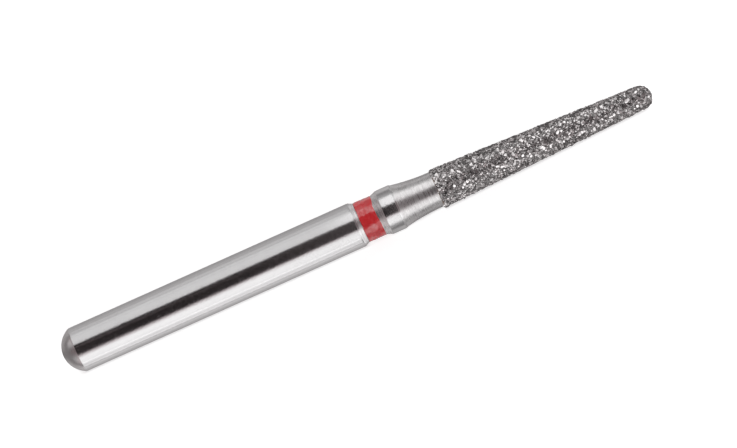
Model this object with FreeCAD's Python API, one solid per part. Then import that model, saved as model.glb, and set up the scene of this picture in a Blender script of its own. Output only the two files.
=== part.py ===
# A friction-grip dental bur: a tapered diamond point with a round tip, size 014, 8 mm of
# abrasive, and a red ring for its fine grit.
#
# The bur lies along X with its tip towards +X. The origin is on the axis, at the front edge
# of the straight shank, where the mouth of the handpiece's chuck stands. Units are millimetres.
import FreeCAD
import Part

import math
import os
import random

# Shank, the end that the chuck grips
shank_diameter = 1.60
shank_length = 10.99
dome_height = 0.54

# Groove for the colour ring, and the bevels that lead down to it. The lacquer stands a little
# higher in the middle than at its edges.
shank_bevel_length = 0.17
ring_recess = 0.08
ring_width = 0.645
ring_thickness = 0.08
ring_crown = 0.008
collar_bevel_length = 0.23

# Collar and neck
collar_width = 0.455
neck_diameter = 1.27
neck_length = 1.495
turned_edge_radius = 0.03

# Working end: a tapered steel core under a plated layer of nickel and diamond
head_length = 8.02
taper_half_angle = 2.09
bond_thickness = 0.04
bond_unevenness = 0.015
grain_height = 0.045
shortest_grain_height = 0.027
grain_pitch = 0.10
grain_scatter = 0.035
grain_share = 1 / 3
grain_seed = 14
bore_panels = 40

# Places along the axis that follow from the sizes above
shank_radius = shank_diameter / 2
neck_radius = neck_diameter / 2
ring_radius = shank_radius - ring_recess
groove_radius = ring_radius - ring_thickness
dome_apex = -shank_length
shank_rear = dome_apex + dome_height
ring_rear = shank_bevel_length
ring_front = ring_rear + ring_width
collar_rear = ring_front + collar_bevel_length
collar_front = collar_rear + collar_width
head_rear = collar_front + neck_length
tip_apex = head_rear + head_length
slope = math.radians(taper_half_angle)

AXIS_POINT = FreeCAD.Vector(0, 0, 0)
AXIS = FreeCAD.Vector(1, 0, 0)
PROFILE_PLANE = Part.Plane(AXIS_POINT, FreeCAD.Vector(0, 1, 0))
FULL_TURN = 2 * math.pi


def at(x, radius):
    """A point of a turned profile, drawn in the XZ plane."""
    return FreeCAD.Vector(x, 0, radius)


def line(start, end):
    return Part.LineSegment(start, end).toShape()


def arc(start, middle, end):
    return Part.Arc(start, middle, end).toShape()


def turned(edges):
    """The solid that a closed profile sweeps round the bur's axis."""
    return Part.Face(Part.Wire(edges)).revolve(AXIS_POINT, AXIS, 360)


class RoundedTaper:
    """A cone from head_rear that ends in a tangent ball whose apex is at a given place."""

    def __init__(self, base_radius, apex):
        self.base_radius = base_radius
        self.apex = apex
        reach = apex - head_rear
        end_radius = base_radius - reach * math.tan(slope)
        self.ball_radius = end_radius * math.cos(slope) / (1 - math.sin(slope))
        self.ball_centre = apex - self.ball_radius
        self.tangent = self.on_ball(slope)
        self.slant = (self.tangent.x - head_rear) / math.cos(slope)
        self.length = self.slant + self.ball_radius * (math.pi / 2 - slope)

    def on_ball(self, angle):
        """The ball's point where its normal leans forward by angle."""
        return at(self.ball_centre + self.ball_radius * math.sin(angle), self.ball_radius * math.cos(angle))

    def outline(self):
        """The edges from the base of the cone to the apex."""
        halfway = self.on_ball((slope + math.pi / 2) / 2)
        side = line(at(head_rear, self.base_radius), self.tangent)
        return [side, arc(self.tangent, halfway, at(self.apex, 0))]

    def along(self, travel):
        """The place, radius and forward lean of the surface at a distance along its outline."""
        if travel < self.slant:
            lean = slope
            x = head_rear + travel * math.cos(slope)
            return x, self.base_radius - travel * math.sin(slope), lean
        lean = slope + (travel - self.slant) / self.ball_radius
        point = self.on_ball(lean)
        return point.x, point.z, lean


layer_thickness = bond_thickness + grain_height
core = RoundedTaper(neck_radius, tip_apex - layer_thickness)
bond = RoundedTaper(neck_radius + bond_thickness, tip_apex - grain_height)


def dome_arc():
    """The convex rear end of the shank, from the apex to the rim."""
    radius = (shank_radius**2 + dome_height**2) / (2 * dome_height)
    half_angle = math.asin(shank_radius / radius) / 2
    middle = at(dome_apex + radius * (1 - math.cos(half_angle)), radius * math.sin(half_angle))
    return arc(at(dome_apex, 0), middle, at(shank_rear, shank_radius))


def neck_arc():
    """The hollow curve from the collar to the head, level where it meets the head."""
    drop = shank_radius - neck_radius
    radius = (neck_length**2 + drop**2) / (2 * drop)
    half = neck_length / 2
    middle = neck_radius + radius - math.copysign(math.sqrt(radius**2 - half**2), radius)
    return arc(at(collar_front, shank_radius), at(head_rear - half, middle), at(head_rear, neck_radius))


def rounded(edges, corner):
    """The edges of a profile, with a small arc where two of them meet at a corner."""
    ends = [edge.Vertexes for edge in edges]
    before = min(k for k, pair in enumerate(ends) if any(corner.isEqual(end.Point, 1e-7) for end in pair))
    tool = Part.ChFi2d.FilletAlgo(edges[before], edges[before + 1], PROFILE_PLANE)
    tool.perform(turned_edge_radius)
    fillet, first, second = tool.result(corner)
    return edges[:before] + [first, fillet, second] + edges[before + 2 :]


def steel_blank():
    """The shank, ring groove, collar, neck and tapered core, turned from one bar."""
    groove = [
        line(at(0, shank_radius), at(ring_rear, ring_radius)),
        line(at(ring_rear, ring_radius), at(ring_rear, groove_radius)),
        line(at(ring_rear, groove_radius), at(ring_front, groove_radius)),
        line(at(ring_front, groove_radius), at(ring_front, ring_radius)),
        line(at(ring_front, ring_radius), at(collar_rear, shank_radius)),
    ]
    shank = line(at(shank_rear, shank_radius), at(0, shank_radius))
    collar = line(at(collar_rear, shank_radius), at(collar_front, shank_radius))
    axis = line(at(core.apex, 0), at(dome_apex, 0))
    edges = [dome_arc(), shank, *groove, collar, neck_arc(), *core.outline(), axis]
    for x in (shank_rear, 0, collar_rear, collar_front):
        edges = rounded(edges, at(x, shank_radius))
    return turned(edges)


def on_crown(share):
    """The point of the lacquer's surface at a share of its width, on an arc from edge to edge."""
    half = ring_width / 2
    bend = (half**2 + ring_crown**2) / (2 * ring_crown)
    offset = (2 * share - 1) * half
    rise = math.sqrt(bend**2 - offset**2) - (bend - ring_crown)
    return at(ring_rear + half + offset, ring_radius + rise)


def colour_ring():
    """The band of baked lacquer that fills the groove, its shallow crown drawn in quarters."""
    rear = line(at(ring_rear, groove_radius), at(ring_rear, ring_radius))
    starts = [0, 1 / 4, 1 / 2, 3 / 4]
    outside = [arc(on_crown(s), on_crown(s + 1 / 8), on_crown(s + 1 / 4)) for s in starts]
    front = line(at(ring_front, ring_radius), at(ring_front, groove_radius))
    inside = line(at(ring_front, groove_radius), at(ring_rear, groove_radius))
    return turned([rear, *outside, front, inside])


def grain_rows():
    """Rows of points from the rim of the layer to its tip, each a list of (angle, point).

    A share of the points are the crests of grains, and the rest lie on the uneven bond. The
    first row stays in the rim's plane, so that the layer's rear face is flat."""
    chance = random.Random(grain_seed)
    count = max(3, round(bond.length / grain_pitch))
    rows = []
    for row in range(count):
        travel = bond.length * row / count
        x, radius, lean = bond.along(travel)
        around = max(6, round(FULL_TURN * radius / grain_pitch))
        turn = chance.random()
        points = []
        for step in range(around):
            shift = grain_scatter * (2 * chance.random() - 1)
            angle = ((step + turn) / around + shift / (FULL_TURN * radius)) % 1 * FULL_TURN
            height = bond_unevenness * chance.random()
            if chance.random() < grain_share:
                height = chance.uniform(shortest_grain_height, grain_height)
            drift = grain_scatter * (2 * chance.random() - 1)
            if row == 0:
                height = 0
                drift = 0
            out = radius + height * math.cos(lean) - drift * math.sin(lean)
            forward = x + height * math.sin(lean) + drift * math.cos(lean)
            point = FreeCAD.Vector(forward, out * math.sin(angle), out * math.cos(angle))
            points.append((angle, point))
        rows.append(sorted(points, key=lambda pair: pair[0]))
    return rows


def stitched(lower, upper, first_lower, first_upper):
    """Triangles between two closed rows with different numbers of points.

    Each step moves on along the row whose next point comes first round the axis."""
    triangles = []
    i = 0
    j = 0
    while i < len(lower) or j < len(upper):
        next_i = lower[(i + 1) % len(lower)][0] + FULL_TURN * ((i + 1) // len(lower))
        next_j = upper[(j + 1) % len(upper)][0] + FULL_TURN * ((j + 1) // len(upper))
        a = first_lower + i % len(lower)
        b = first_upper + j % len(upper)
        if j >= len(upper) or (i < len(lower) and next_i <= next_j):
            triangles.append((a, b, first_lower + (i + 1) % len(lower)))
            i += 1
        else:
            triangles.append((a, b, first_upper + (j + 1) % len(upper)))
            j += 1
    return triangles


def fan(row, first, hub):
    """Triangles from a hub to each side of a closed row."""
    return [(first + (k + 1) % len(row), first + k, hub) for k in range(len(row))]


def panelled_core():
    """A solid of the core's size, with its surface in narrow panels.

    The layer is thin, so its bore needs facets that stay closer to the round core than the
    facets of one whole cone would."""
    base = line(at(head_rear, 0), at(head_rear, core.base_radius))
    step = 360 / bore_panels
    slice_faces = Part.Wire([base, *core.outline()]).revolve(AXIS_POINT, AXIS, step)
    faces = []
    for k in range(bore_panels):
        faces += slice_faces.rotated(AXIS_POINT, AXIS, k * step).Faces
    shell = Part.Shell(faces)
    shell.sewShape()
    return Part.Solid(shell)


def diamond_layer():
    """The plated skin of the working end, with its grains standing out, over the steel core."""
    rows = grain_rows()
    firsts = [sum(len(row) for row in rows[:k]) for k in range(len(rows))]
    points = [point for row in rows for angle, point in row]
    triangles = []
    for k in range(len(rows) - 1):
        triangles += stitched(rows[k], rows[k + 1], firsts[k], firsts[k + 1])
    triangles += fan(rows[-1], firsts[-1], len(points))
    points.append(at(tip_apex, 0))
    skin = Part.Shape()
    skin.makeShapeFromMesh((points, triangles), 1e-7)
    rim = [point for angle, point in rows[0]]
    rear = Part.Face(Part.makePolygon(rim + rim[:1]))
    body = Part.Solid(Part.Shell(skin.Faces + [rear]))
    if body.Volume < 0:
        body.reverse()
    return body.cut(panelled_core())


def main():
    pieces = {
        "steel_blank": steel_blank(),
        "colour_ring": colour_ring(),
        "diamond_layer": diamond_layer(),
    }
    os.makedirs("parts", exist_ok=True)
    for name, shape in pieces.items():
        shape.exportStep(f"parts/{name}.step")
        print(f"{name}: {len(shape.Solids)} solid, {shape.Volume:.4f} mm3, {len(shape.Faces)} faces")


main()
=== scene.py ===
# %% [markdown]
# # A dental bur in Blender
# A friction-grip dental bur is a pin of stainless steel with a diamond point. The dentist pushes
# its straight shank into a small turbine, which spins it at several hundred thousand turns a
# minute. This notebook gives its looks to a model that is already sized: the sizes come in with
# the frame, and every piece here is built on them. All lengths in Blender are in metres, and the
# frame's X axis runs along the bur towards its tip.

# %% Load the frame
import math
import random

import bpy
from mathutils import Euler, Matrix, Vector


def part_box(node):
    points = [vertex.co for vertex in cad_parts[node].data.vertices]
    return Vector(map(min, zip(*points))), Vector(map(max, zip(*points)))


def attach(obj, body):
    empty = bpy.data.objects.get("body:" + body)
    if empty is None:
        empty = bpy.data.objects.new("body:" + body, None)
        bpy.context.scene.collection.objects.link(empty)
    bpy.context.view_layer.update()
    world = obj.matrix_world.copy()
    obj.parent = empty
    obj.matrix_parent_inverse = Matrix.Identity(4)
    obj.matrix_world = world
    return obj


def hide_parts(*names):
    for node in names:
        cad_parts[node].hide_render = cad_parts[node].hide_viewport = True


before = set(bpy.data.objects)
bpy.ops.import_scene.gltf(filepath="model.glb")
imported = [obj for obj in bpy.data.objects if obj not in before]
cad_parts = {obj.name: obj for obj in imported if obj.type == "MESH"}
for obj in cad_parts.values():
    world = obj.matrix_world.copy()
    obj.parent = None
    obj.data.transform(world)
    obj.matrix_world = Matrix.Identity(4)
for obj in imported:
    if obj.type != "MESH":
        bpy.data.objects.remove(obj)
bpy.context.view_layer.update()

print("nodes:", sorted(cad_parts))

# %% [markdown]
# ## Sizes
# The frame's boxes give where each piece starts and ends, so no length is typed twice. Only the
# forms that a box can't show, such as the height of the domed end or the place of the collar,
# are named here. They're written in millimetres, as a maker would, and turned to metres.

# %% Read the sizes from the frame
MM = 0.001
blank_low, blank_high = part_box("steel_blank")
ring_low, ring_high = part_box("colour_ring")
head_low, head_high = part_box("diamond_layer")
shank_radius = blank_high.z
dome_apex = blank_low.x
ring_rear = ring_low.x
ring_front = ring_high.x
head_rear = head_low.x
tip_apex = head_high.x
core_apex = blank_high.x

dome_height = 0.54 * MM
ring_edge_radius = shank_radius - 0.08 * MM
groove_radius = ring_edge_radius - 0.08 * MM
collar_rear = ring_front + 0.215 * MM
collar_front = collar_rear + 0.49 * MM
neck_radius = 0.635 * MM
bond_thickness = 0.04 * MM
grain_height = 0.045 * MM
taper = math.radians(2.09)
print(f"shank {2 * shank_radius / MM:.2f} mm across, {(tip_apex - dome_apex) / MM:.2f} mm overall")
print(f"head {(tip_apex - head_rear) / MM:.2f} mm long, ring {(ring_front - ring_rear) / MM:.2f} mm wide")

# %% [markdown]
# ## A profile
# The bur is turned, so each of its surfaces is a profile spun round the axis: a list of places
# along the axis, each with a radius. It could be drawn by eye, but a lathe follows a drawing, and
# so do these few functions. Each gives one run of the profile: an arc, a straight line or a
# hollow. The last one puts a small arc in place of a corner.

# %% Write the runs of a profile
SAME_PLACE = 1e-7        # points nearer than a ten-thousandth of a millimetre are one


def arc_points(centre, radius, start, end, count):
    """Points (x, r) on a circle about a centre, from one angle to another, in radians."""
    angles = [start + (end - start) * k / count for k in range(count + 1)]
    return [(centre[0] + radius * math.cos(a), centre[1] + radius * math.sin(a)) for a in angles]


def line_points(start, end, count):
    """Points (x, r) spaced evenly on a line."""
    shares = [k / count for k in range(count + 1)]
    return [(start[0] + (end[0] - start[0]) * s, start[1] + (end[1] - start[1]) * s) for s in shares]


def hollow_points(start, end, depth, count):
    """Points (x, r) from a start to an end, on a curve that is hollow by a depth."""
    sags = [4 * depth * (k / count) * (1 - k / count) for k in range(count + 1)]
    return [(x, r - sag) for (x, r), sag in zip(line_points(start, end, count), sags)]


def chained(*runs):
    """One profile from several runs of points, without the points that repeat."""
    points = []
    for run in runs:
        for point in run:
            if not points or math.dist(points[-1], point) > SAME_PLACE:
                points.append(point)
    return points


def softened(profile, corner, radius, count=5):
    """The profile with a small arc in place of one of its corners."""
    k = min(range(len(profile)), key=lambda i: math.dist(profile[i], corner))
    apex, before, after = (Vector(profile[i]) for i in (k, k - 1, k + 1))
    backward = (before - apex).normalized()
    forward = (after - apex).normalized()
    half = backward.angle(forward) / 2
    centre = apex + (backward + forward).normalized() * radius / math.sin(half)
    start = apex + backward * radius / math.tan(half) - centre
    end = apex + forward * radius / math.tan(half) - centre
    turn = start.angle_signed(end)
    arc = [centre + Matrix.Rotation(-turn * s / count, 2) @ start for s in range(count + 1)]
    return profile[:k] + [tuple(point) for point in arc] + profile[k + 1 :]


print("a quarter turn in two steps:", arc_points((0, 0), 1, 0, math.pi / 2, count=2))

# %% [markdown]
# ## A lathe
# A profile could be a curve with a Screw modifier, but a chain of mesh vertices can go straight
# to the Spin operator. The chain is drawn as by hand: a plane is added, merged to one vertex, and
# that vertex is extruded from point to point. Spin makes the surface, its seam is merged, and the
# normals are made to point outwards.

# %% Build the lathe
def start_edit(piece):
    """Makes one object the only selected and active one, and enters edit mode."""
    bpy.ops.object.select_all(action="DESELECT")
    piece.select_set(True)
    bpy.context.view_layer.objects.active = piece
    bpy.ops.object.mode_set(mode="EDIT")


def spun(name, profile, sides):
    """An object whose surface is a profile of (x, r) points spun round the X axis."""
    bpy.ops.object.select_all(action="DESELECT")
    bpy.ops.mesh.primitive_plane_add(size=MM, location=(0, 0, 0))
    piece = bpy.context.object
    piece.name = name
    start_edit(piece)
    bpy.ops.mesh.select_all(action="SELECT")
    bpy.ops.mesh.merge(type="CENTER")
    bpy.ops.transform.translate(value=(profile[0][0], 0, profile[0][1]))
    for (x, r), (next_x, next_r) in zip(profile, profile[1:]):
        step = {"value": (next_x - x, 0, next_r - r)}
        bpy.ops.mesh.extrude_region_move(TRANSFORM_OT_translate=step)
    bpy.ops.mesh.select_all(action="SELECT")
    bpy.ops.mesh.spin(steps=sides, angle=2 * math.pi, center=(0, 0, 0), axis=(1, 0, 0))
    bpy.ops.mesh.select_all(action="SELECT")
    bpy.ops.mesh.remove_doubles(threshold=SAME_PLACE)
    bpy.ops.mesh.normals_make_consistent(inside=False)
    bpy.ops.object.mode_set(mode="OBJECT")
    print(f"{name}: {len(piece.data.polygons)} faces, {len(piece.data.vertices)} vertices")
    return piece


# %% [markdown]
# ## The steel blank
# The blank is one bar, turned and then ground. Its rear end is domed so that it slides into the
# chuck. Behind the head it has a waist, which lets the dentist see past it. The waist could be a
# plain cone, but the real one is a hollow curve that runs level into the head. A small chamfer
# leads from the collar into it.

# %% Draw the dome, the neck and the core
def taper_ball(base_radius, apex):
    """The radius of the ball that ends a taper of a given base radius and apex."""
    end_radius = base_radius - (apex - head_rear) * math.tan(taper)
    return end_radius * math.cos(taper) / (1 - math.sin(taper))


def taper_points(base_radius, apex, cone_count, ball_count):
    """A cone from the rear of the head that runs into a ball, as (x, r) points up to its apex."""
    ball_radius = taper_ball(base_radius, apex)
    ball_centre = (apex - ball_radius, 0)
    ball = arc_points(ball_centre, ball_radius, math.pi / 2 - taper, 0, ball_count)
    ball[-1] = (apex, 0)
    return chained(line_points((head_rear, base_radius), ball[0], cone_count), ball)


dome_radius = (shank_radius**2 + dome_height**2) / (2 * dome_height)
dome_centre = (dome_apex + dome_radius, 0)
dome_half_angle = math.asin(shank_radius / dome_radius)
dome = arc_points(dome_centre, dome_radius, math.pi, math.pi - dome_half_angle, count=30)
dome[0] = (dome_apex, 0)

chamfer_length = 0.055 * MM
chamfer_drop = 0.028 * MM
neck_length = head_rear - (collar_front + chamfer_length)
neck_drop = shank_radius - chamfer_drop - neck_radius
neck_bend = (neck_length**2 + neck_drop**2) / (2 * neck_drop)
neck_centre = (head_rear, neck_radius + neck_bend)
neck_turn = math.asin(neck_length / neck_bend)
neck = arc_points(neck_centre, neck_bend, -math.pi / 2 - neck_turn, -math.pi / 2, count=40)

core = taper_points(neck_radius, core_apex, cone_count=6, ball_count=10)
print(f"dome radius {dome_radius / MM:.2f} mm, neck bend {neck_bend / MM:.1f} mm")

# %% [markdown]
# Between the shank and the collar lies the seat of the red ring: a groove between two bevels.
# The cutter leaves the bevels slightly hollow. At the groove's front a narrow land slopes up to
# the bevel, and the lacquer only just covers it. Each rim has a tiny rounding, which catches the
# light as a bright line. A Bevel modifier could round the rims, but it would round the groove as
# well, so each arc is put into the profile before it is spun.

# %% Turn the steel blank
hairline = 0.001 * MM
land_width = 0.08 * MM
land_radius = ring_edge_radius - 0.012 * MM
land_rear = ring_front - land_width
land_foot = (ring_front, ring_edge_radius - hairline)

crown_width = 0.12 * MM
crown_drop = 0.003 * MM
crown_shares = [k / 3 for k in range(4)]
collar_crown = [
    (collar_rear + crown_width * s, shank_radius - crown_drop * (1 - s) ** 2) for s in crown_shares
]
rims = [
    (dome_apex + dome_height, shank_radius),
    (0, shank_radius),
    collar_crown[0],
    (collar_front, shank_radius),
]
rim_roundings = [0.08 * MM, 0.06 * MM, 0.06 * MM, 0.05 * MM]
lip = (ring_rear, ring_edge_radius)
lip_rounding = 0.02 * MM
shank_bevel = hollow_points(rims[1], lip, depth=0.007 * MM, count=3)
groove = [(ring_rear, groove_radius), (land_rear, groove_radius), (land_rear, land_radius)]
collar_bevel = hollow_points(land_foot, rims[2], depth=0.0045 * MM, count=4)

blank_profile = chained(dome, shank_bevel, groove, collar_bevel, collar_crown, rims[3:], neck, core)
for rim, rounding in zip(rims, rim_roundings):
    blank_profile = softened(blank_profile, rim, rounding)
blank_profile = softened(blank_profile, lip, lip_rounding)
steel = spun("steel_shank", blank_profile, sides=192)
bpy.ops.object.shade_smooth_by_angle(angle=math.radians(16))

# %% [markdown]
# ## The red ring
# The ring tells the grit of the diamond: red is fine. It is baked lacquer that lies in a groove,
# so it swells a little, and its surface isn't quite even. A profile with a shallow crown gives
# the swell. The unevenness could be a bump in the material, but then the highlights alone would
# waver, so a Displace modifier with a Clouds texture moves the surface itself.

# %% Fill the groove with lacquer
ring_width = ring_front - ring_rear
ring_middle = (ring_rear + ring_front) / 2
ring_crown = 0.008 * MM
ring_bend = (ring_width**2 / 4 + ring_crown**2) / (2 * ring_crown)
ring_half_turn = math.asin(ring_width / 2 / ring_bend)
crown_centre = (ring_middle, ring_edge_radius + ring_crown - ring_bend)
crown_start = math.pi / 2 + ring_half_turn
crown_end = math.pi / 2 - ring_half_turn
crown = arc_points(crown_centre, ring_bend, crown_start, crown_end, count=22)
film_radius = land_radius - hairline
film_rear = land_rear - hairline
film = line_points((ring_front, film_radius), (film_rear, film_radius), count=3)
inside = line_points((film_rear, groove_radius), (ring_rear, groove_radius), count=1)
ring_profile = chained(crown, film, inside)
ring_profile.append(ring_profile[0])
ring = spun("grit_ring", ring_profile, sides=192)

# %% [markdown]
# Sculpting could do this by hand, but a modifier can be told how far to go, and gives the same
# result each time. Each one works through a vertex group, which says how far each point may move.
# The crown swells and sinks, but stays put along its borders. At the front the lacquer ran thin
# in one place, where it falls short of the bevel. The borders waver a little along the bur.

# %% Make the lacquer uneven
THIN_PLACES = ((0.48, 30, 14), (0.4, 5, 17))      # share of the land, angle and spread in degrees


def group_of(piece, name, weight):
    """A vertex group in which each point has the weight that a function gives it."""
    group = piece.vertex_groups.new(name=name)
    for vertex in piece.data.vertices:
        group.add([vertex.index], weight(vertex.co), "REPLACE")
    return group


def displaced(piece, weight, grain, strength, direction="NORMAL", level=0.5):
    """Moves a piece's points as far as a weight allows, by a Clouds texture if it has a grain."""
    name = f"{piece.name}_{len(piece.vertex_groups)}"
    modifier = piece.modifiers.new(name, "DISPLACE")
    if grain:
        modifier.texture = bpy.data.textures.new(name, "CLOUDS")
        modifier.texture.noise_scale = grain
        modifier.texture.noise_depth = 2
    modifier.vertex_group = group_of(piece, name, weight).name
    modifier.strength = strength
    modifier.direction = direction
    modifier.mid_level = level
    bpy.context.view_layer.objects.active = piece
    bpy.ops.object.modifier_apply(modifier=modifier.name)
    print(f"{name}: moved by up to {abs(strength) / MM:.3f} mm")


def share(value, low, high):
    """How far a value is from a low to a high one, between 0 and 1."""
    return min(1.0, max(0.0, (value - low) / (high - low)))


def on_crown(co):
    """1 on the ring's outside, falling to 0 over the land, and 0 in the groove."""
    outside = math.hypot(co.y, co.z) > ring_edge_radius + hairline
    return outside * share(co.x, ring_front, land_rear - land_width)


def thin_film(co):
    """How far the lacquer falls short of the front of its land, as a share of the land's width."""
    angle = math.degrees(math.atan2(co.y, co.z))
    gaps = [depth * math.exp(-(((angle - place) / spread) ** 2)) for depth, place, spread in THIN_PLACES]
    return sum(gaps) * share(co.x, land_rear - land_width, ring_front)


def front_half(co):
    """0 at the ring's middle, rising to 1 at its front border."""
    return share(co.x, ring_middle, ring_front)


def rear_half(co):
    """0 at the ring's middle, rising to 1 at its rear border."""
    return share(co.x, ring_middle, ring_rear)


displaced(ring, on_crown, grain=0.22 * MM, strength=0.04 * MM)
displaced(ring, thin_film, grain=None, strength=-land_width, direction="X", level=0.0)
displaced(ring, front_half, grain=0.3 * MM, strength=-0.015 * MM, direction="X", level=0.3)
displaced(ring, rear_half, grain=0.4 * MM, strength=0.03 * MM, direction="X", level=0.3)
bpy.ops.object.shade_smooth_by_angle(angle=math.radians(30))

# %% [markdown]
# ## The nickel bond
# Nickel is plated over the core until it holds the diamonds by about half their height. Between
# the grains it shows as a dull, lumpy floor. Its profile runs back along the core, so that the
# shell is closed, and a Displace modifier gives the lumps, except at its bevelled rear border.

# %% Plate the bond
bond_apex = tip_apex - grain_height
bond_radius = neck_radius + bond_thickness
border_length = 0.012 * MM
border_drop = 0.015 * MM
bond_outside = taper_points(bond_radius, bond_apex, cone_count=170, ball_count=20)
bond_outside[0] = (head_rear + border_length, bond_radius - border_drop)
bond_inside = taper_points(neck_radius, core_apex, cone_count=4, ball_count=8)
bond = spun("nickel_bond", chained(bond_outside[::-1], bond_inside), sides=128)
bond_middle = neck_radius + bond_thickness / 2
lumps_start = head_rear + 0.02 * MM


def on_skin(co):
    """1 on the outside of the bond, and 0 at its rear border and in its bore."""
    radius = math.hypot(co.y, co.z)
    outside = radius > bond_middle - (co.x - head_rear) * math.tan(taper) or co.x > core_apex
    return float(outside and co.x > lumps_start)


displaced(bond, on_skin, grain=0.11 * MM, strength=0.03 * MM)
bpy.ops.object.shade_smooth_by_angle(angle=math.radians(60))

# %% [markdown]
# ## The diamond grains
# A fine bur carries thousands of diamonds, each a broken or blocky crystal with flat faces that
# glint one by one. Noise in a material can't do that from every side, so the grains are real:
# a few crystals are cut, then copied all over the bond. They are cut a thousand times
# larger than they are, because the bevel tool's smallest step is too coarse for a real grain,
# and each copy is shrunk, turned and stretched as it is placed.

# %% Cut the crystals
def blocky_crystal(k):
    """A flat block with its corners cut off, a little out of square."""
    bpy.ops.object.select_all(action="DESELECT")
    bpy.ops.mesh.primitive_cube_add(size=1, location=(0, 0, 0))
    crystal = bpy.context.object
    start_edit(crystal)
    bpy.ops.mesh.select_all(action="SELECT")
    bpy.ops.mesh.bevel(affect="VERTICES", offset=0.22 + 0.04 * k, segments=1)
    bpy.ops.transform.vertex_random(offset=0.07, seed=k)
    bpy.ops.object.mode_set(mode="OBJECT")
    return crystal


def broken_crystal(k):
    """An icosahedron with its corners pulled about, like a splinter."""
    bpy.ops.object.select_all(action="DESELECT")
    bpy.ops.mesh.primitive_ico_sphere_add(subdivisions=1, radius=0.55, location=(0, 0, 0))
    crystal = bpy.context.object
    start_edit(crystal)
    bpy.ops.mesh.select_all(action="SELECT")
    bpy.ops.transform.vertex_random(offset=0.2, seed=10 + k)
    bpy.ops.object.mode_set(mode="OBJECT")
    return crystal


crystals = [blocky_crystal(k) for k in range(4)] + [broken_crystal(k) for k in range(4)]
print("crystal faces:", [len(crystal.data.polygons) for crystal in crystals])

# %% [markdown]
# The places of the grains follow a spiral of golden-angle steps, which spreads points evenly
# over a round surface, as on a pine cone. So each step has to cover the same area, on the cone
# and on the ball alike, and a formula finds the place that has a given share of the area behind
# it.

# %% Find places on the bond
GOLDEN_ANGLE = math.pi * (3 - math.sqrt(5))


def on_bond(area_share):
    """The place, radius and forward lean of the bond where a share of its area lies behind."""
    ball = taper_ball(bond_radius, bond_apex)
    ball_centre = bond_apex - ball
    tangent_x = ball_centre + ball * math.sin(taper)
    tangent_r = ball * math.cos(taper)
    slant = (tangent_x - head_rear) / math.cos(taper)
    cone_area = math.pi * (bond_radius + tangent_r) * slant
    cap_area = 2 * math.pi * ball * (bond_apex - tangent_x)
    area = area_share * (cone_area + cap_area)
    if area < cone_area:
        radius = math.sqrt(bond_radius**2 - area * math.sin(taper) / math.pi)
        return head_rear + (bond_radius - radius) / math.tan(taper), radius, taper
    rest = bond_apex - (cone_area + cap_area - area) / (2 * math.pi * ball) - ball_centre
    lean = math.asin(min(1, rest / ball))
    return ball_centre + rest, ball * math.cos(lean), lean


print("halfway by area:", [round(value / MM, 3) for value in on_bond(0.5)[:2]], "mm")

# %% [markdown]
# Each grain then strays a little, so that no rows show. The grains lie nearly flat, a little
# sunk in the nickel, and most are small, with a few larger ones. Chips of all leans fill the room
# between them. Every grain carries a tone of its own, an attribute that its material reads. The
# last few grains aren't sunk, because they make the apex of the tip.

# %% Scatter the grains
GRAIN_SPACING = 0.08 * MM
STRAY = 0.4
APEX_GRAINS = 3


def joined(name, copies):
    """One flat-shaded piece from many copies, with nothing past the tip."""
    bpy.ops.object.select_all(action="DESELECT")
    for copy in copies:
        copy.select_set(True)
    bpy.context.view_layer.objects.active = copies[0]
    bpy.ops.object.join()
    piece = bpy.context.object
    piece.name = name
    for vertex in piece.data.vertices:
        vertex.co.x = min(vertex.co.x, tip_apex)
    bpy.ops.object.shade_flat()
    triangles = sum(len(face.vertices) - 2 for face in piece.data.polygons)
    print(f"{name}: {len(copies)} grains, {triangles} triangles")
    return piece


def scattered(name, count, smallest, largest, sunk, tilt, seed):
    """Grains all over the bond, sunk by up to a share of their size and leaning by up to a tilt."""
    chance = random.Random(seed)
    rear_margin = 0.5 * largest
    copies = []
    for k in range(count):
        x, radius, lean = on_bond((k + 0.5) / count)
        size = smallest + (largest - smallest) * chance.random() ** 2
        sideways = chance.uniform(-STRAY, STRAY) * GRAIN_SPACING
        angle = k * GOLDEN_ANGLE + sideways / max(radius, GRAIN_SPACING)
        x += chance.uniform(-STRAY, STRAY) * GRAIN_SPACING * math.cos(lean)
        x = max(x, head_rear + rear_margin * chance.uniform(0.4, 1.4))
        about = Matrix.Rotation(-angle, 4, "X")
        upright = about @ Matrix.Rotation(lean, 4, "Y")
        outwards = upright.to_3x3() @ Vector((0, 0, 1))
        depth = sunk if k < count - APEX_GRAINS else 0
        place = about @ Vector((x, 0, radius)) + outwards * size * chance.uniform(-depth, 0)
        leans = [chance.uniform(-tilt, tilt) for axis in "XY"]
        spin = Euler([*leans, chance.uniform(0, 2 * math.pi)])
        turned = upright @ spin.to_matrix().to_4x4()
        length = size * chance.uniform(0.9, 1.8)
        thickness = size * chance.uniform(0.7, 1)
        stretch = Matrix.Diagonal([length, size, thickness, 1])
        mesh = chance.choice(crystals).data.copy()
        mesh.transform(Matrix.Translation(place) @ turned @ stretch)
        tone = mesh.attributes.new("tone", "FLOAT", "POINT")
        tone.data.foreach_set("value", [chance.random()] * len(mesh.vertices))
        copy = bpy.data.objects.new(f"{name}_{k}", mesh)
        bpy.context.collection.objects.link(copy)
        copies.append(copy)
    return joined(name, copies)


flat = math.radians(13)
grains = scattered("diamond_grains", 5900, 0.045 * MM, 0.093 * MM, sunk=0.25, tilt=flat, seed=5)
chips = scattered("diamond_chips", 4200, 0.025 * MM, 0.05 * MM, sunk=0.0, tilt=math.pi, seed=9)
for crystal in crystals:
    bpy.data.objects.remove(crystal)

# %% [markdown]
# ## Finishes
# Every finish below is worked out from the place of a point on the piece. Shader maths is easier
# to read as sums than as a web of nodes, so a small class holds a socket and turns Python's
# signs into Math nodes.

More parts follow.
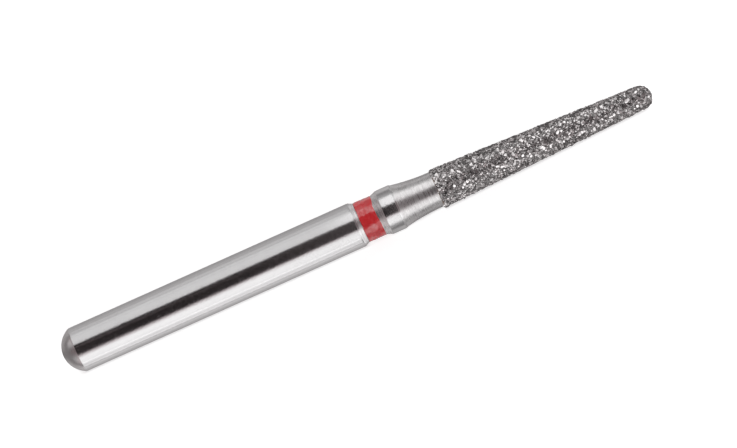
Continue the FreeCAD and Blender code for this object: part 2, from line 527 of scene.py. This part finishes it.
# %% Write shader maths as sums
class Wire:
    """An output socket that can stand in a sum."""

    def __init__(self, socket):
        self.socket = socket
        self.tree = socket.id_data

    def math(self, operation, *values):
        """A Math node on some values, numbers or wires."""
        node = self.tree.nodes.new("ShaderNodeMath")
        node.operation = operation
        for place, value in zip(node.inputs, values):
            plug(self.tree, place, value)
        return Wire(node.outputs[0])

    def __add__(self, other):
        return self.math("ADD", self, other)

    def __radd__(self, other):
        return self.math("ADD", other, self)

    def __sub__(self, other):
        return self.math("SUBTRACT", self, other)

    def __rsub__(self, other):
        return self.math("SUBTRACT", other, self)

    def __mul__(self, other):
        return self.math("MULTIPLY", self, other)

    def __rmul__(self, other):
        return self.math("MULTIPLY", other, self)

    def rising(self, low, high):
        """0 below one level, 1 above another, and a smooth rise between them."""
        node = self.tree.nodes.new("ShaderNodeMapRange")
        node.interpolation_type = "SMOOTHSTEP"
        for name, value in (("Value", self), ("From Min", low), ("From Max", high)):
            plug(self.tree, node.inputs[name], value)
        return Wire(node.outputs["Result"])

    def within(self, start, full, fading, end):
        """Rises to 1 between the first two levels, and falls back to 0 between the last two."""
        return self.rising(start, full) * (1 - self.rising(fading, end))


def plug(tree, place, value):
    """Gives an input socket a value, or a link where the value is a wire."""
    if isinstance(value, Wire):
        tree.links.new(value.socket, place)
    else:
        place.default_value = value


# %% [markdown]
# One more class holds a node tree. Its method for adding a node takes the node's type, its
# settings, and what goes into its sockets, so that every node is added in one line. The others
# give names to the nodes that come back in most of the finishes.

# %% Hold a node tree
class Finish:
    """The node tree of a material or a world."""

    def __init__(self, owner):
        owner.use_nodes = True
        self.owner = owner
        self.tree = owner.node_tree
        self.tree.nodes.clear()

    def add(self, kind, settings=(), values=(), output=0):
        """Adds a node: its settings first, then the values or links of its sockets."""
        node = self.tree.nodes.new(kind)
        for name, value in dict(settings).items():
            setattr(node, name, value)
        for name, value in dict(values).items():
            plug(self.tree, node.inputs[name], value)
        return Wire(node.outputs[output]) if node.outputs else node

    def parts(self, vector):
        """The X, Y and Z of a vector."""
        first = self.add("ShaderNodeSeparateXYZ", {}, {0: vector})
        return [Wire(socket) for socket in first.socket.node.outputs]

    def mixed(self, amount, first, second):
        """A colour between two colours."""
        return self.add("ShaderNodeMix", {"data_type": "RGBA"}, {0: amount, 6: first, 7: second}, 2)

    def millimetres(self, scale=(1, 1, 1)):
        """The place of a point on the piece, in millimetres, and stretched if need be."""
        place = self.add("ShaderNodeTexCoord", output="Object")
        size = [part / MM for part in scale]
        return self.add("ShaderNodeMapping", {}, {"Vector": place, "Scale": size})

    def noise(self, per_millimetre, detail=2.0, roughness=0.5):
        """Noise with so many lumps to a millimetre along X, Y and Z."""
        vector = self.millimetres(per_millimetre)
        values = {"Vector": vector, "Scale": 1.0, "Detail": detail, "Roughness": roughness}
        return self.add("ShaderNodeTexNoise", {}, values)

    def bump(self, height, distance):
        """A normal that follows a height, as deep as a distance."""
        return self.add("ShaderNodeBump", {}, {"Height": height, "Distance": distance, "Strength": 1.0})

    def surface(self, values):
        """Ends the tree in a Principled shader."""
        return self.ended(self.add("ShaderNodeBsdfPrincipled", {}, values))

    def ended(self, shader, output="ShaderNodeOutputMaterial"):
        """Ends the tree in a shader, and gives back the material or world that owns it."""
        self.add(output, {}, {"Surface": shader})
        print(f"{self.owner.name}: {len(self.tree.nodes)} nodes")
        return self.owner


# %% [markdown]
# ### Ground steel
# The shank and the collar are ground between wheels. Ground steel mirrors the room, but softly:
# its reflections are broken up by specks, by shallow pits and by very short scratches that run
# round the bar. A photograph of steel could be wrapped round it, but noise has no seam and no
# end. Fine noise makes the specks and scratches in the bump, and the pits are rougher spots.

# %% Finish the ground steel
ground = Finish(bpy.data.materials.new("ground_steel"))
specks = ground.noise((16, 16, 16), 3.0, 0.6)
scratches = ground.noise((40, 5, 5))
patches = ground.noise((1.2, 3, 3))
pits = ground.noise((18, 18, 18), 1.0).rising(0.56, 0.68)
ground_steel = ground.surface(
    {
        "Base Color": ground.mixed(patches, (0.60, 0.59, 0.595, 1), (0.65, 0.64, 0.645, 1)),
        "Metallic": 1.0,
        "Roughness": 0.125 + 0.06 * specks + 0.08 * pits,
        "Normal": ground.bump(specks + 0.6 * scratches, 0.0025 * MM),
    }
)

# %% [markdown]
# ### Turned steel
# The bevels and the neck are left as the lathe made them. The tool leaves rings, each a few
# hundredths of a millimetre wide, that come and go round the bar. A wave texture would draw them
# as even as a record's grooves. Noise squeezed along X and stretched around it looks the same as
# the real ones, and a second noise mottles the colour.

# %% Finish the turned steel
turned = Finish(bpy.data.materials.new("turned_steel"))
tool_marks = turned.noise((27, 2.5, 2.5))
mottle = turned.noise((7, 7, 7)).rising(0.3, 0.7)
turned_steel = turned.surface(
    {
        "Base Color": turned.mixed(mottle, (0.60, 0.585, 0.588, 1), (0.70, 0.683, 0.685, 1)),
        "Metallic": 1.0,
        "Roughness": 0.24 + 0.13 * tool_marks.rising(0.3, 0.7),
        "Normal": turned.bump(tool_marks, 0.008 * MM),
    }
)

# %% [markdown]
# ### The domed end
# The dome is turned and tumbled, so it is duller than the shank, and a little warmer. One noise
# is enough: it gives the colour, the roughness and a faint bump, so that the three agree.

# %% Finish the domed end
domed = Finish(bpy.data.materials.new("tumbled_steel"))
tumble = domed.noise((9, 9, 9), 3.0, 0.6)
tumbled_steel = domed.surface(
    {
        "Base Color": domed.mixed(tumble, (0.56, 0.535, 0.54, 1), (0.66, 0.63, 0.63, 1)),
        "Metallic": 1.0,
        "Roughness": 0.24 + 0.1 * tumble,
        "Normal": domed.bump(tumble, 0.002 * MM),
    }
)

# %% [markdown]
# ### Red lacquer
# The lacquer is a strong red under a clear gloss. The red alone would look like paint, so the
# clear layer is the shader's coat, with a gloss that comes and goes. The red beneath it hardly
# shines, and is a little lighter in some places than in others.

# %% Finish the lacquer
lacquer = Finish(bpy.data.materials.new("red_lacquer"))
cloud = lacquer.noise((2.5, 2.5, 2.5))
gloss = lacquer.noise((6, 6, 6), 1.0).rising(0.38, 0.62)
red_lacquer = lacquer.surface(
    {
        "Base Color": lacquer.mixed(cloud, (0.575, 0.027, 0.031, 1), (0.71, 0.039, 0.047, 1)),
        "Roughness": 0.14,
        "IOR": 1.2,
        "Coat Weight": 0.62 + 0.5 * gloss,
        "Coat Roughness": 0.05,
        "Coat IOR": 1.95,
        "Normal": lacquer.bump(cloud, 0.004 * MM),
    }
)

# %% [markdown]
# ### Nickel and diamond
# The plated nickel is matt and dark between the grains, and turns brown at its rear border,
# where the plating stopped. The grains have flat, clean faces, some clear, some nearly black,
# and some covered in nickel. Glass would be true to the clear ones, but at this size it only
# looks grey, and takes long to render. So all of them are nearly metal, from dark to bright.

# %% Finish the head
plated = Finish(bpy.data.materials.new("plated_nickel"))
lumps = plated.noise((14, 14, 14), 3.0, 0.6)
nickel = plated.mixed(lumps, (0.08, 0.075, 0.075, 1), (0.30, 0.285, 0.285, 1))
plated_x = plated.parts(plated.millimetres())[0]
border = 1 - plated_x.rising(head_rear / MM + 0.02, head_rear / MM + 0.06)
plated_nickel = plated.surface(
    {
        "Base Color": plated.mixed(border, nickel, (0.34, 0.25, 0.19, 1)),
        "Metallic": 1.0,
        "Roughness": 0.36 + 0.2 * lumps,
        "Normal": plated.bump(lumps, 0.01 * MM),
    }
)

facets = Finish(bpy.data.materials.new("diamond_facets"))
tone = facets.add("ShaderNodeAttribute", {"attribute_name": "tone"}, {}, "Fac")
diamond_facets = facets.surface(
    {
        "Base Color": facets.mixed(tone.rising(0.2, 0.8), (0.23, 0.22, 0.22, 1), (0.88, 0.85, 0.85, 1)),
        "Metallic": 0.9,
        "Roughness": 0.21,
    }
)

# %% [markdown]
# ## Give the pieces their finishes
# The blank is one piece with three finishes. It could be cut into three objects, but then seams
# would show where they meet, so each of its faces gets a finish by its place along the axis.
# Then every piece is tied to the body that it moves with, and the solid that it stands for is hidden.

# %% Assign the finishes
def finished(piece, *materials):
    """Gives a piece its materials in place of the ones it has."""
    piece.data.materials.clear()
    for material in materials:
        piece.data.materials.append(material)


GROUND, TURNED, TUMBLED = range(3)
bevels_from, bevels_to = 0.045 * MM, collar_rear - 0.02 * MM
neck_from = collar_front + 0.04 * MM
finished(steel, ground_steel, turned_steel, tumbled_steel)
for face in steel.data.polygons:
    x = face.center.x
    if x < dome_apex + dome_height:
        face.material_index = TUMBLED
    elif bevels_from < x < bevels_to or x > neck_from:
        face.material_index = TURNED
    else:
        face.material_index = GROUND
finished(ring, red_lacquer)
finished(bond, plated_nickel)
finished(grains, diamond_facets)
finished(chips, diamond_facets)

body = "root"
for piece, node, slot in (
    (steel, "steel_blank", "steel"),
    (ring, "colour_ring", "red_lacquer"),
    (bond, "diamond_layer", "diamond_grit"),
    (grains, "diamond_layer", "diamond_grit"),
    (chips, "diamond_layer", "diamond_grit"),
):
    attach(piece, body)
    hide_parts(node)
print("pieces:", [piece.name for piece in (steel, ring, bond, grains, chips)])

# %% [markdown]
# ## The studio
# Polished metal looks like what stands round it. The photograph's long bands tell of two big
# soft boxes at the bur's sides with a dark gap overhead, where the camera stands. Lamps could
# stand there, but a lamp has one level all over. So the world gives the boxes: its brightness is
# worked out from the direction of each ray, as an angle across the bur, in degrees from straight
# up, and a lean along it, from -1 at its rear to 1 at its front. The straight shank sees rays
# that hardly lean. The bevel behind the ring and the neck see what lies ahead of the bur, and
# the collar's bevel and the dome see what lies behind it.

# %% Read the direction of a ray
studio_world = bpy.data.worlds.new("studio")
bpy.context.scene.world = studio_world
studio = Finish(studio_world)
direction = studio.add("ShaderNodeTexCoord", output="Generated")
along, sideways, upwards = studio.parts(direction)
across = sideways.math("ARCTAN2", sideways, upwards) * (180 / math.pi)
to_rear = 0 - along
near_across = 0 - across
ahead = along.rising(0.28, 0.42)
rear = to_rear.rising(0.45, 0.62)
rearmost = to_rear.rising(0.66, 0.8)
print(f"{len(studio.tree.nodes)} nodes for the direction")

# %% [markdown]
# The far box has a sharp edge and the near one a soft edge, and both stand further out for what
# lies ahead. They are dimmer near the floor. The gap holds a faint seam of light, which shows
# as a thin line on the shank's rear, and is lighter ahead of the bur and behind it.

# %% Set the levels of the boxes and the gap
far_box = (across - 13 * ahead).rising(27, 30)
near_box = (near_across - 9 * ahead).rising(20, 47 - 11 * along.rising(-0.1, -0.03))
far_low = across.rising(64, 86) * (1 - ahead)
near_low = near_across.rising(64, 88) * (1 - ahead)
far_level = 0.95 - 0.5 * far_low - 0.12 * ahead
near_level = 1.42 - 0.95 * near_low - 0.36 * along.rising(0.02, 0.07) + 0.22 * ahead
boxes = (far_level * far_box + near_level * near_box) * (1 - 0.65 * to_rear.rising(0.25, 0.45))

seam = across.within(11.5, 14, 14, 16.5)
gap_to_rear = 0.22 * seam * to_rear.rising(0.06, 0.1) + 0.16 * to_rear.rising(0.06, 0.5)
gap_to_front = 0.145 * along.rising(0.0, 0.06) + 0.11 * along.rising(0.25, 0.5)
gap = 0.006 + gap_to_rear + gap_to_front - 0.07 * along.rising(0.65, 0.9)
middle = gap * (1 - far_box) * (1 - near_box) + boxes

to_far_side = sideways.rising(0.2, 0.5)
to_near_side = (0 - sideways).rising(0.2, 0.5)
rear_level = 0.165 + 0.37 * to_far_side + (0.64 - 0.38 * rearmost) * to_near_side
rear_level = rear_level * (1 + 0.45 * rearmost)
level = middle * (1 - rear) + rear_level * rear
print(f"{len(studio.tree.nodes)} nodes for the levels")

# %% [markdown]
# Away from the boxes the room is a little warm, and the camera sees it as plain white. One
# broad sun, which mirrors don't see, gives the matt surfaces their light and the bur its soft
# shadow. A small lamp would give a hard shadow, and would show as a spot in the steel.

# %% Light the studio
WHITE = (1, 1, 1, 1)
neutral_ahead = along.rising(0.07, 0.14) * (1 - ahead)
dusk = studio.mixed(neutral_ahead, (1, 0.82, 0.84, 1), (1, 0.95, 0.96, 1))
tint = studio.mixed(far_box.math("MAXIMUM", far_box, near_box), dusk, WHITE)
tint = studio.mixed(rear * (1 - rearmost), tint, (1, 0.85, 0.85, 1))
camera_ray = studio.add("ShaderNodeLightPath", output="Is Camera Ray")
tint = studio.mixed(camera_ray, tint, WHITE)
strength = level * (1 - camera_ray) + camera_ray
sky = studio.add("ShaderNodeBackground", {}, {"Color": tint, "Strength": strength})
studio.ended(sky, "ShaderNodeOutputWorld")

bpy.ops.object.light_add(type="SUN", rotation=(math.radians(-38), 0, 0))
sun = bpy.context.object
sun.data.energy = 0.8
sun.data.angle = math.radians(35)
sun.visible_glossy = False

# %% [markdown]
# The world is the same for every point of the bur, but in the photograph the shank, the collar
# and the bevels don't see quite the same room. So a few cards of light stand where only one of
# them mirrors them. The cards beside the shank stand on edge close to it, and lift its sides.
# The ones beside the ring face the rear, so that the ring's own mirror sees them edge on, and
# only the bevel behind it is lit.

# %% Place the light cards
def light_card(name, centre, size, turn, level):
    """A card that only mirrors see, turned by degrees about X and Y. Without a turn it faces down."""
    place = [part * MM for part in centre]
    turn = [math.radians(part) for part in turn]
    bpy.ops.object.light_add(type="AREA", location=place, rotation=(turn[0], turn[1], 0))
    card = bpy.context.object
    card.name = name
    card.data.shape = "RECTANGLE"
    card.data.size = size[0] * MM
    card.data.size_y = size[1] * MM
    card.data.energy = level * math.pi * card.data.size * card.data.size_y
    card.visible_camera = False
    card.visible_diffuse = False
    print(f"{name}: level {level}")


light_card("collar_card", (6.45, 8, 8), (13.1, 9.5), (-45, 0), 0.4)
light_card("near_head_card", (9, -8, 8), (8, 9.5), (45, 0), 0.34)
light_card("overhead_card", (1.95, 0, 2), (2.1, 1.5), (0, 0), 0.01)
light_card("far_shank_card", (-5.3, 1.2, 0.61), (10.6, 0.54), (-90, 0), 0.28)
light_card("near_shank_card", (-5.3, -1.2, 0.61), (10.6, 0.54), (90, 0), 0.6)
light_card("far_bevel_card", (0.5, 1.28, 0.02), (1.25, 0.65), (0, 90), 0.22)
light_card("near_bevel_card", (0.5, -1.28, 0.02), (1.25, 0.65), (0, 90), 0.6)

# %% [markdown]
# ## The paper
# The bur lies on white paper. The camera sees the paper a little brighter than white, so that
# only the deeper part of the shadow shows, as in the photograph. A plane is all that it needs,
# and its material does the rest, from the place on the paper and the kind of ray.

# %% Lay the paper
bpy.ops.mesh.primitive_plane_add(size=0.6, location=(0, 0, 0))
floor = bpy.context.object
floor.name = "paper"
floor.data.transform(Matrix.Translation((0, 0, -shank_radius)))
paper = Finish(bpy.data.materials.new("white_paper"))
x, y = paper.parts(paper.millimetres())[:2]
distance = y.math("ABSOLUTE", y)
near_side = (0 - y).rising(-0.1, 0.1)


def by_side(far, near):
    """A level that is one number on the far side of the bur and another on its near side."""
    return far + (near - far) * near_side


print("paper:", floor.dimensions.x, "m wide")

# %% [markdown]
# The sides of the bur mirror the paper, which isn't evenly lit. A painted glow, which only mirrors
# see, stands in for that light. It is a sum of soft fields: close to the bur, in a band beside the
# shank, beside the ring, and in a wedge that runs forward and outward, which the bevel behind the
# ring and the neck look at.

# %% Light the paper for mirrors
from_shank = x.rising(-15, -11.5)
beside_shank = from_shank * (1 - x.rising(-0.2, 0.5))
close = distance.rising(0, 0.8) * (1 - x.rising(2.8, 4.2))
band = beside_shank * distance.within(1.2, 3.5, 3.6, 4.6)
beside_ring = x.within(0, 0.3, 1.6, 2.4) * distance.within(0.9, 1.4, 3, 3.8)
forward = (x - 0.5 * distance).rising(-0.3, 0.5)
wedge = forward * distance.rising(1.5, 3) * (1 - x.rising(3.5, 6))
outer_wedge = forward * distance.rising(3.2, 4.4) * x.within(4, 6, 10, 16)
# Painted glow: emission on the paper that only glossy rays see, brighter in these fields.
painted_mirror_glow = close * (by_side(0.16, 0.1) + beside_shank * by_side(0.06, 0.2))
painted_mirror_glow = painted_mirror_glow + band * by_side(0.15, 0.35) + 0.2 * beside_ring
painted_mirror_glow = painted_mirror_glow + wedge * by_side(0.22, 0.15) + outer_wedge * by_side(0.12, 0.45)
print(f"{len(paper.tree.nodes)} nodes for the glow")

# %% [markdown]
# Where the bur lies on the paper, the photograph has a thin soft line of shadow. It is finer than
# the sun's shadow, so the paper's own level falls there: the bur's outline is worked out from its
# sizes, and the level rises again over a tenth of a millimetre outside it. The line is fainter
# beside the ring and the collar.

# %% Draw the contact shadow
head_start = head_rear / MM
past_head = x - head_start
waist = (shank_radius - neck_radius) / MM
layer = (bond_thickness + grain_height) / MM
outline = shank_radius / MM - waist * x.rising(1.1, head_start)
outline = outline + layer * x.rising(head_start - 0.02, head_start + 0.02)
outline = outline - math.tan(taper) * past_head.math("MAXIMUM", past_head, 0)
beneath = (1 - (distance - outline).rising(0, 0.09)) * x.within(-10.9, -10.5, 10.5, 10.9)
beside_collar = x.within(0, 0.2, 1.6, 2.4)
contact = by_side(0.08, 0.26) * (1 - 0.7 * beside_collar)
paper_level = 0.76 + 0.03 * x.rising(0, 4) - contact * beneath
print(f"{len(paper.tree.nodes)} nodes with the contact shadow")

# %% [markdown]
# The camera and the mirrors each see their own level, which the kind of ray tells. Beneath both
# lies matt paper, which carries the bur's soft shadow and lights the matt surfaces. Mirrors see it
# as a darker grey, a painted shade in the bur's reflections, and darker still in a patch beside
# the ring and the collar. From below the paper is clear, so that views from there show the bur.

# %% Finish the paper
seen = paper.add("ShaderNodeLightPath", output="Is Camera Ray")
mirrored = paper.add("ShaderNodeLightPath", output="Is Glossy Ray")
# Painted shade: for mirrors the paper is a darker grey, and darker still in a patch beside the ring and
# collar.
painted_shade_patch = x.within(-0.2, 0.3, 1.8, 2.6) * distance.rising(3.5, 5)
shade = paper.mixed(painted_shade_patch, (0.38, 0.38, 0.38, 1), (0.25, 0.25, 0.25, 1))
matt_grey = paper.mixed(mirrored, (0.62, 0.62, 0.62, 1), shade)
matt = paper.add("ShaderNodeBsdfDiffuse", {}, {"Color": matt_grey})
shine = paper_level * seen + mirrored * from_shank * painted_mirror_glow
glow = paper.add("ShaderNodeEmission", {}, {"Color": WHITE, "Strength": shine})
sheet_top = paper.add("ShaderNodeAddShader", {}, {0: matt, 1: glow})
clear = paper.add("ShaderNodeBsdfTransparent")
under = paper.add("ShaderNodeNewGeometry", output="Backfacing")
both = paper.add("ShaderNodeMixShader", {}, {0: under, 1: sheet_top, 2: clear})
finished(floor, paper.ended(both))

# %% [markdown]
# ## The camera
# The photograph looks almost straight down on the bur through a long lens, with the bur's axis
# turned by 24 degrees in the frame and the tip a touch nearer to the lens. The camera's place
# follows from the point of the axis at the middle of the frame.

# %% Place the camera
tip_lean = math.radians(1.6)
frame_turn = math.radians(24.12)
aim = Vector((0.382 * MM, -0.140 * MM, 0))
camera_distance = 139.74 * MM
bur_in_view = Vector((math.cos(tip_lean), 0, -math.sin(tip_lean)))
side = Vector((0, 1, 0))
back = Vector((math.sin(tip_lean), 0, math.cos(tip_lean)))
right = math.cos(frame_turn) * bur_in_view - math.sin(frame_turn) * side
up = math.sin(frame_turn) * bur_in_view + math.cos(frame_turn) * side
camera_matrix = Matrix((right, up, back)).transposed().to_4x4()
camera_matrix.translation = aim + back * camera_distance
bpy.ops.object.camera_add()
camera = bpy.context.object
camera.matrix_world = camera_matrix
camera.data.lens = 200
camera.data.sensor_width = 36
camera.data.clip_start = 0.01
camera.data.clip_end = 10
bpy.context.scene.camera = camera
bpy.context.scene.view_settings.view_transform = "Standard"
print("camera at (mm):", [round(part / MM, 2) for part in camera_matrix.translation])
